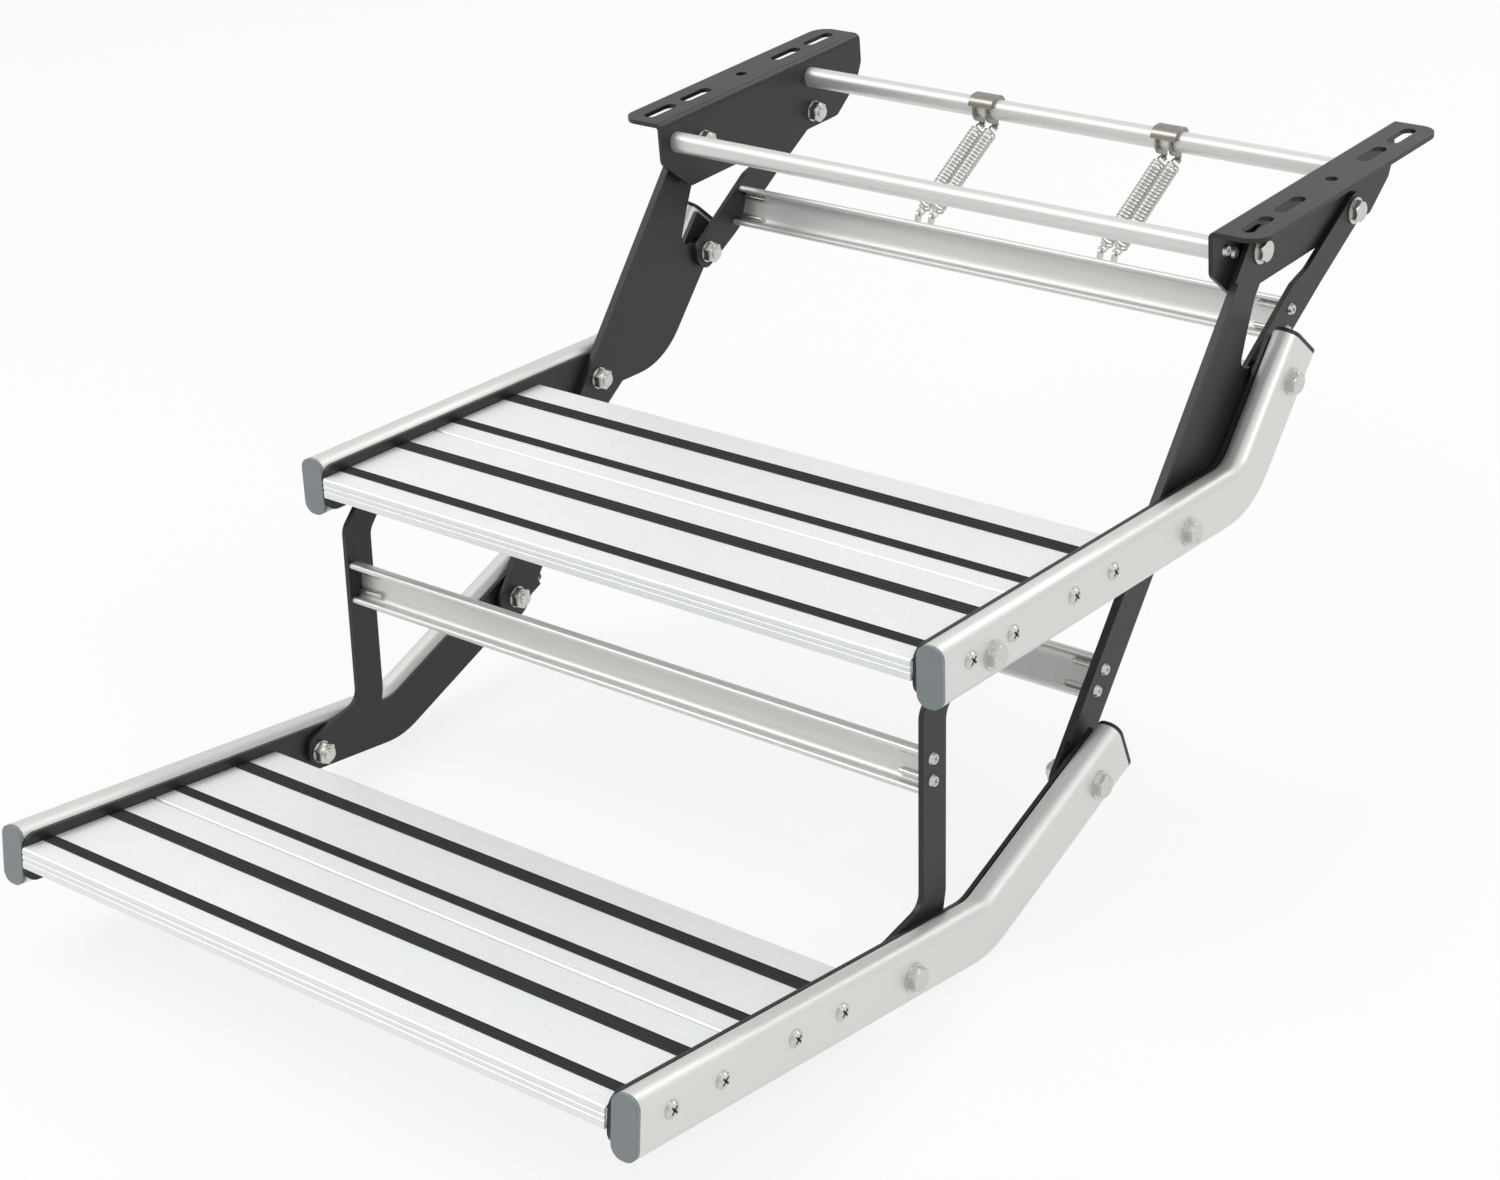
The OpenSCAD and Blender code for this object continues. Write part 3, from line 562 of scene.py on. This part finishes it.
class STEP_OT_treads(Piece):
    """Ribbed aluminium planks with fine grooves, a two-tier front edge and screw ports"""

    bl_idname = "entry_step.treads"
    bl_label = "Treads"

    def top_line(self, y0, y1, level):
        """Fine grooves as a raised cosine in height over depth, flat at both ends."""
        s = self.sizes
        count = max(1, round((y1 - y0) * MM / s.groove_pitch))
        t = np.linspace(0, 1, count * 6 + 1)
        wave = (1 - np.cos(2 * np.pi * count * t)) / 2
        return np.stack([y0 + (y1 - y0) * t, level - s.groove_depth / MM * wave ** 3], -1)

    def plank_outline(self):
        """A plank's section as (y, z) in mm: grooved top, grip seats, edges with lips, thin skin."""
        s = self.sizes
        depth = s.plank_depth / MM
        top, low, under = DECK_Z, DECK_Z - s.plank_height / MM, DECK_Z - SKIN
        seat = DECK_Z - GRIP_SEAT
        beneath = seat - SKIN * 0.8
        margin = 0.6
        upper = [self.top_line(EDGE_ROUND + 0.2, GRIPS[0][0] - margin, top)]
        for (g0, g1), after in zip(GRIPS, (GRIPS[1][0], depth - 1.0)):
            upper.append(np.array([(g0, top), (g0, seat), (g1, seat), (g1, top)]))
            upper.append(self.top_line(g1 + margin, after - margin, top))
        inner = [(depth, top - margin), (depth, low), (depth - LIP, low), (depth - LIP, low + SKIN),
                 (depth - SKIN, low + SKIN), (depth - SKIN, under)]
        for g0, g1 in reversed(GRIPS):
            inner += [(g1 + 2, under), (g1 + 1.4, beneath), (g0 - 1.4, beneath), (g0 - 2, under)]
        inner += [(SKIN, under), (SKIN, low + SKIN), (LIP, low + SKIN), (LIP, low)]
        front = [(1.0, low, 0), (0.0, low, 0.8)]
        for groove in reversed(EDGE_GROOVES):
            for y, z, r in ((0, -0.8, 0), (1, -0.2, 0.4), (1, 0.2, 0.4), (0, 0.8, 0)):
                front.append((y * EDGE_GROOVE_DEPTH, top - groove + z, r))
        front += [(0.0, top, EDGE_ROUND), (EDGE_ROUND + 0.1, top, 0)]
        return np.concatenate([rounded(front, 6)] + upper + [np.array(inner)])

    def port_outline(self, screw):
        """The round port under the skin that a screw bites in, with its web."""
        r, web, roof = PORT_R, PORT_WEB / 2, DECK_Z - SKIN + 0.3
        return rounded([(screw - r, SCREW_Z - r, r), (screw + r, SCREW_Z - r, r),
                        (screw + r, SCREW_Z + r, 2.8), (screw + web, roof, 0),
                        (screw - web, roof, 0), (screw - r, SCREW_Z + r, 2.8)], 8)

    def execute(self, context):
        s = self.sizes
        half = s.tread_width / MM / 2
        outline = self.plank_outline()
        for step in STEPS:
            for k, place in enumerate(("front", "rear")):
                shift = k * (s.plank_depth + s.plank_gap) / MM
                shape = Shape()
                y, z = in_step(step, outline[:, 0] + shift, outline[:, 1])
                shape.grid(*carried_across(np.stack([y, z], -1)[::-1], -half, half))
                for screw in SCREW_Y:
                    port = self.port_outline(screw)
                    y, z = in_step(step, port[:, 0] + shift, port[:, 1])
                    shape.grid(*carried_across(np.stack([y, z], -1), -half, half))
                shape.make(f"{step}_{place}_plank_ribbed", finishes()["tread_metal"], "tread_alloy",
                           f"{step}_step", f"{step}_{place}_plank", sharp=40.0)
        return {"FINISHED"}


class STEP_OT_channels(Piece):
    """Three channel bars with a hollow rounded face and beaded lips"""

    bl_idname = "entry_step.channels"
    bl_label = "Channel Bars"

    def section(self):
        """The channel's outline as (u, v) in mm: u = 1 - run |t|^3.2, v = h sin(90 t).

        The inside follows the same curve, and a round bead ends each lip.
        """
        s = self.sizes
        h, d = s.channel_height / MM / 2, s.channel_depth / MM
        wall, bead, power = 2.0, 2.3, 3.2
        outer_run, inner_run, inner_h = d - 3.4, d - 5.0, (h - wall) * 0.94
        t = np.linspace(-1, 1, 41)
        outer = np.stack([1.0 - outer_run * np.abs(t) ** power, h * np.sin(t * np.pi / 2)], -1)
        a = np.linspace(np.pi / 2, np.pi * 1.5, 15)
        top = np.stack([1.0 - d + bead + bead * np.cos(a), h - bead + bead * np.sin(a)], -1)
        back = t[::-1]
        inner = np.stack([1.0 - wall - inner_run * np.abs(back) ** power,
                          inner_h * np.sin(back * np.pi / 2)], -1)
        low = top[::-1] * (1, -1)
        return np.concatenate([outer, top, inner[3:-3], low])

    def execute(self, context):
        section = self.section()
        for name, body, at, turn, reach in CHANNELS:
            a = np.radians(turn)
            y = at[0] + section[:, 0] * np.cos(a) - section[:, 1] * np.sin(a)
            z = at[1] + section[:, 0] * np.sin(a) + section[:, 1] * np.cos(a)
            shape = Shape()
            shape.grid(*carried_across(np.stack([y, z], -1), -reach, reach))
            shape.make(f"{name}_profile", finishes()["bar_metal"], "anodised_rail", body, name)
        return {"FINISHED"}


class STEP_OT_springs(Piece):
    """Two pairs of wound extension springs with looped ends"""

    bl_idname = "entry_step.springs"
    bl_label = "Springs"

    # Rings of the mesh in one turn, turns over which the coil widens, sides of the wire
    RINGS = 30
    WIDENING = 0.7
    WIRE_SIDES = 10

    def coil_line(self, radius, start, stop):
        """A helix along Y from start to stop, drawn in towards its line at both ends."""
        turns = self.sizes.turns
        t = np.linspace(0, 1, turns * self.RINGS + 1)
        taper = np.clip(np.minimum(t, 1 - t) * turns / self.WIDENING, 0, 1)
        swell = radius * (0.12 + 0.88 * taper * taper * (3 - 2 * taper))
        a = 2 * np.pi * turns * t
        return np.stack([swell * np.cos(a), start + (stop - start) * t, swell * np.sin(a)], -1)

    @staticmethod
    def loop_line(angle, middle, radius):
        """A round loop in the plane of X and the spring's line, nearly closed."""
        across, along = radius * np.cos(angle), middle + radius * np.sin(angle)
        return np.stack([across, along, np.zeros_like(angle)], -1)

    def execute(self, context):
        s = self.sizes
        wire = s.wire / 2
        top, low = np.array(HOOK_TOP) * MM, np.array(HOOK_LOW) * MM
        run = np.linalg.norm(low - top)
        along = (low - top) / run
        hook_r = HOOK_R * MM
        start = 2 * hook_r
        loop = np.linspace(np.radians(80), np.radians(400), 41)
        lines = ((self.coil_line(s.coil / 2 - wire, start, run - start), (0.0, 1.0, 0.0)),
                 (self.loop_line(loop, hook_r, hook_r), (0.0, 0.0, 1.0)),
                 (self.loop_line(-loop, run - hook_r, hook_r), (0.0, 0.0, 1.0)))
        wound = [tube(line, np.array(level), wire, self.WIRE_SIDES) for line, level in lines]
        apart = (s.coil + s.coil_gap) / 2
        for x, side in zip(SPRING_X, ("left", "right")):
            shape = Shape()
            for middle in (x * MM - apart, x * MM + apart):
                for points, u, v in wound:
                    placed = np.empty_like(points)
                    placed[..., 0] = middle + points[..., 0]
                    placed[..., 1] = top[0] + points[..., 1] * along[0] - points[..., 2] * along[1]
                    placed[..., 2] = top[1] + points[..., 1] * along[1] + points[..., 2] * along[0]
                    shape.grid(placed, u, v)
            shape.make(f"spring_{side}_wires", finishes()["zinc"], "zinc_plate", "springs",
                       f"spring_{side}", sharp=60.0)
        return {"FINISHED"}


class STEP_OT_fasteners(Piece):
    """Nylon-ring collars and threaded bolt ends at every pivot"""

    bl_idname = "entry_step.fasteners"
    bl_label = "Nut Collars and Threads"

    # Group name, body, pivot, and the inner face that the nut's washer rests on
    GROUPS = (
        ("arm_pivot", "frame", "A", BRACKET_IN),
        ("rear_link", "frame", "B", BRACKET_IN),
        ("upper_pivot", "upper_step", "C", ARM_IN - NUT_PLAY),
        ("lower_pivot", "lower_step", "E", ARM_IN - NUT_PLAY),
        ("rear_stud", "rear_links", "D", REAR_LINK_IN),
        ("front_stud", "front_links", "F", FRONT_LINK_IN),
        ("front_link", "upper_step", "G", FRONT_LINK_IN - NUT_PLAY),
    )

    # The collar's profile in mm: reach past the nut, and radius
    COLLAR = ((1.5, 5.2), (1.5, 5.9), (1.45, 6.2), (1.2, 6.7), (0.7, 7.0), (0.0, 7.1), (-0.4, 7.1))

    def execute(self, context):
        past, radius = np.array(self.COLLAR).T
        t = np.linspace(0, 1, 41)
        ridge = 0.5 - 0.5 * np.cos(2 * np.pi * THREAD_TURNS * t)
        thread_r = THREAD_R + 0.22 * ridge - 0.9 * (1 - t) ** 8
        for name, body, pivot, face in self.GROUPS:
            at = PIVOTS[pivot]
            nut_face = face - WASHER_T - NUT_T
            shape = Shape()
            shape.grid(*revolved(at, nut_face - past, radius))
            shape.grid(*revolved(at, nut_face - THREAD_PAST * (1 - t), thread_r))
            shape.mirrored()
            shape.make(f"{name}_nut_collars", finishes()["zinc"], "zinc_plate", body)
        return {"FINISHED"}


class STEP_OT_screw_heads(Piece):
    """Flanges of the screws that hold the treads, and near-black bars on their heads that paint the
    shade in the cross recesses
    """

    bl_idname = "entry_step.screw_heads"
    bl_label = "Screw Heads"

    # In mm: radius and thickness of the flange, reach of the head, length and width of the cross, whose
    # dark bars are painted shade of the recess
    FLANGE_R = 6.3
    FLANGE_T = 0.7
    HEAD_T = 2.4
    CROSS_L = 7.0
    CROSS_W = 1.6

    def bar(self, at, turn, length):
        """A thin bar with round ends on the head's face, turned in its plane."""
        half = length / 2
        w = self.CROSS_W / 2
        r = w * 0.9
        outline = rounded([(-half, -w, r), (half, -w, r), (half, w, r), (-half, w, r)], 5)
        y = at[0] + outline[:, 0] * np.cos(turn) - outline[:, 1] * np.sin(turn)
        z = at[1] + outline[:, 0] * np.sin(turn) + outline[:, 1] * np.cos(turn)
        face = RAIL_OUT + self.HEAD_T
        return carried_across(np.stack([y, z], -1), face - 0.6, face + 0.03)

    def execute(self, context):
        s = self.sizes
        pitch = (s.plank_depth + s.plank_gap) / MM
        flange_x = RAIL_OUT + np.array((0.02, self.FLANGE_T - 0.25, self.FLANGE_T, self.FLANGE_T))
        flange_r = self.FLANGE_R - np.array((0.0, 0.0, 0.25, 1.6))
        for step in STEPS:
            flanges, painted_slot_shade = Shape(), Shape()
            for k in (0, 1):
                for screw in SCREW_Y:
                    at = in_step(step, screw + k * pitch, SCREW_Z)
                    flanges.grid(*revolved(at, flange_x, flange_r))
                    slope = np.radians(STEPS[step][1])
                    # Two near-black bars on each head: painted shade in the cross recess, not the
                    # screw's own colour
                    for turn in (np.radians(45), np.radians(135)):
                        painted_slot_shade.grid(*self.bar(at, slope + turn, self.CROSS_L))
            for shape in (flanges, painted_slot_shade):
                shape.mirrored()
            flanges.make(f"{step}_screw_flanges", finishes()["zinc"], "zinc_plate", f"{step}_step")
            # The bars take the black cap finish as painted shade
            painted_slot_shade.make(f"{step}_screw_painted_slot_shade", finishes()["cap_black"], "zinc_plate", f"{step}_step")
        return {"FINISHED"}


class STEP_OT_finishes(Piece):
    """Gives every CAD piece that stays its own finish"""

    bl_idname = "entry_step.finishes"
    bl_label = "Finishes"

    SLOTS = {"black_steel": "black_coat", "anodised_rail": "bar_metal", "tread_alloy": "tread_metal",
             "zinc_plate": "zinc", "grip_rubber": "ribbed_rubber", "cap_plastic": "cap_grey",
             "black_plastic": "cap_black"}

    def execute(self, context):
        made = finishes()
        for part in frame["record"]["subparts"]:
            paint(part["node"], made[self.SLOTS[part["material_slot"]]])
        # The clips' darker zinc is painted shade
        paint("spring_hangers", made["clip"])
        return {"FINISHED"}


class STEP_OT_stage(Piece):
    """Pale floor, white surroundings, soft lamps and the camera"""

    bl_idname = "entry_step.stage"
    bl_label = "Studio"

    # In metres: half the floor's width, its gap below the step, and where the lamps aim
    FLOOR_HALF = 9.0
    FLOOR_GAP = 0.0005
    MIDDLE = (0.0, -0.35, -0.2)

    # Share of the floor that glows, so that it stays pale and still takes a shadow
    FLOOR_GLOW = 0.8

    # Strength of the surroundings for matt and for glossy surfaces, and what the sky adds above
    SOFT = 0.42
    SHINE = 0.72
    ABOVE = 0.30

    # Lamps: name, place and size in metres, power in watts
    LAMPS = (
        ("key", (-1.3, -1.5, 1.9), (1.6, 1.2), 21.0),
        ("side", (2.2, -0.4, 1.0), (0.9, 1.4), 10.0),
        ("back", (0.3, 1.9, 1.5), (1.8, 0.6), 12.0),
    )

    def floor(self, level):
        """A pale floor that glows where it is seen, and lights the step as matt paint does."""
        half = self.FLOOR_HALF
        mesh = bpy.data.meshes.new("studio_floor")
        mesh.from_pydata([(-half, -half, level), (half, -half, level), (half, half, level),
                          (-half, half, level)], [], [(0, 1, 2, 3)])
        floor = bpy.data.objects.new("studio_floor", mesh)
        bpy.context.scene.collection.objects.link(floor)
        f = Finish("studio_floor", bpy.context.scene.step_colours.backdrop, 0.9)
        tree = f.tree
        rays = tree.nodes.new("ShaderNodeLightPath")
        seen = Wire(tree, rays.outputs["Is Camera Ray"]) + Wire(tree, rays.outputs["Is Glossy Ray"])
        seen = seen + Wire(tree, rays.outputs["Is Transmission Ray"])
        glow = f.node("ShaderNodeEmission", Color=(1.0, 1.0, 1.0, 1.0), Strength=1.0)
        mix = tree.nodes.new("ShaderNodeMixShader")
        tree.links.new((seen * self.FLOOR_GLOW).socket, mix.inputs[0])
        tree.links.new(f.shader.outputs[0], mix.inputs[1])
        tree.links.new(glow.socket, mix.inputs[2])
        tree.links.new(mix.outputs[0], tree.nodes["Material Output"].inputs["Surface"])
        mesh.materials.append(f.material)

    def world(self):
        """White where it is seen, and a softer light from above than from the sides elsewhere."""
        world = bpy.data.worlds.new("studio")
        world.use_nodes = True
        bpy.context.scene.world = world
        tree = world.node_tree
        back = tree.nodes["Background"]
        rays = tree.nodes.new("ShaderNodeLightPath")
        camera = Wire(tree, rays.outputs["Is Camera Ray"])
        seen = camera + Wire(tree, rays.outputs["Is Transmission Ray"])
        glossy = Wire(tree, rays.outputs["Is Glossy Ray"])
        coord = tree.nodes.new("ShaderNodeTexCoord")
        split = tree.nodes.new("ShaderNodeSeparateXYZ")
        tree.links.new(coord.outputs["Generated"], split.inputs[0])
        height = Wire(tree, split.outputs[2])
        level = height.math("MAXIMUM", height, 0.0)
        soft = self.SOFT + level * self.ABOVE
        shine = self.SHINE + level * self.ABOVE
        seen = seen.math("MINIMUM", seen, 1.0)
        strength = seen + (1 - seen) * (glossy * shine + (1 - glossy) * soft)
        back.inputs["Color"].default_value = (1.0, 1.0, 1.0, 1.0)
        tree.links.new(strength.socket, back.inputs["Strength"])

    def lamp(self, name, at, size, power):
        """A soft lamp that looks at the step's middle."""
        data = bpy.data.lights.new(name, "AREA")
        data.shape = "RECTANGLE"
        data.size, data.size_y = size
        data.energy = power
        lamp = bpy.data.objects.new(name, data)
        lamp.location = at
        lamp.rotation_euler = (Vector(self.MIDDLE) - Vector(at)).to_track_quat("-Z", "Y").to_euler()
        bpy.context.scene.collection.objects.link(lamp)

    def camera(self):
        """The camera looks along its own back vector, turned about Z, raised, and rolled."""
        az, el, roll = (np.radians(v) for v in (CAMERA_TURN, CAMERA_HEIGHT, CAMERA_ROLL))
        back = Vector((np.sin(az) * np.cos(el), -np.cos(az) * np.cos(el), np.sin(el)))
        right = Vector((np.cos(az), np.sin(az), 0.0))
        up = back.cross(right)
        side = right * np.cos(roll) + up * np.sin(roll)
        top = up * np.cos(roll) - right * np.sin(roll)
        data = bpy.data.cameras.new("photo_view")
        data.sensor_fit = "HORIZONTAL"
        data.sensor_width = 36.0
        data.lens = CAMERA_LENS
        camera = bpy.data.objects.new("photo_view", data)
        turn = Matrix((side, top, back)).transposed().to_4x4()
        camera.matrix_world = Matrix.Translation(CAMERA_AT) @ turn
        bpy.context.scene.collection.objects.link(camera)
        bpy.context.scene.camera = camera

    def execute(self, context):
        self.camera()
        self.floor(CAD_BOX[0][2] - self.FLOOR_GAP)
        self.world()
        for lamp in self.LAMPS:
            self.lamp(*lamp)
        bpy.context.scene.view_settings.view_transform = "Standard"
        return {"FINISHED"}


OPERATORS = (STEP_OT_stage, STEP_OT_finishes, STEP_OT_rails, STEP_OT_treads, STEP_OT_channels,
             STEP_OT_springs, STEP_OT_fasteners, STEP_OT_screw_heads)


class STEP_PT_panel(bpy.types.Panel):
    """Lists the sizes, colours and pieces"""

    bl_idname = "STEP_PT_panel"
    bl_label = "Entry Step"
    bl_space_type = "VIEW_3D"
    bl_region_type = "UI"
    bl_category = "Entry Step"

    def draw(self, context):
        layout = self.layout
        for group in (context.scene.step_sizes, context.scene.step_colours):
            for name in group.__annotations__:
                layout.prop(group, name)
        for operator in OPERATORS:
            layout.operator(operator.bl_idname)


CLASSES = (StepSizes, StepColours) + OPERATORS + (STEP_PT_panel,)


def register():
    for cls in CLASSES:
        bpy.utils.register_class(cls)
    bpy.types.Scene.step_sizes = PointerProperty(type=StepSizes)
    bpy.types.Scene.step_colours = PointerProperty(type=StepColours)


def unregister():
    del bpy.types.Scene.step_colours
    del bpy.types.Scene.step_sizes
    for cls in reversed(CLASSES):
        bpy.utils.unregister_class(cls)


def main():
    register()
    bpy.ops.entry_step.stage()
    bpy.ops.entry_step.finishes()
    bpy.ops.entry_step.rails()
    bpy.ops.entry_step.treads()
    bpy.ops.entry_step.channels()
    bpy.ops.entry_step.springs()
    bpy.ops.entry_step.fasteners()
    bpy.ops.entry_step.screw_heads()


if __name__ == "__main__":
    main()
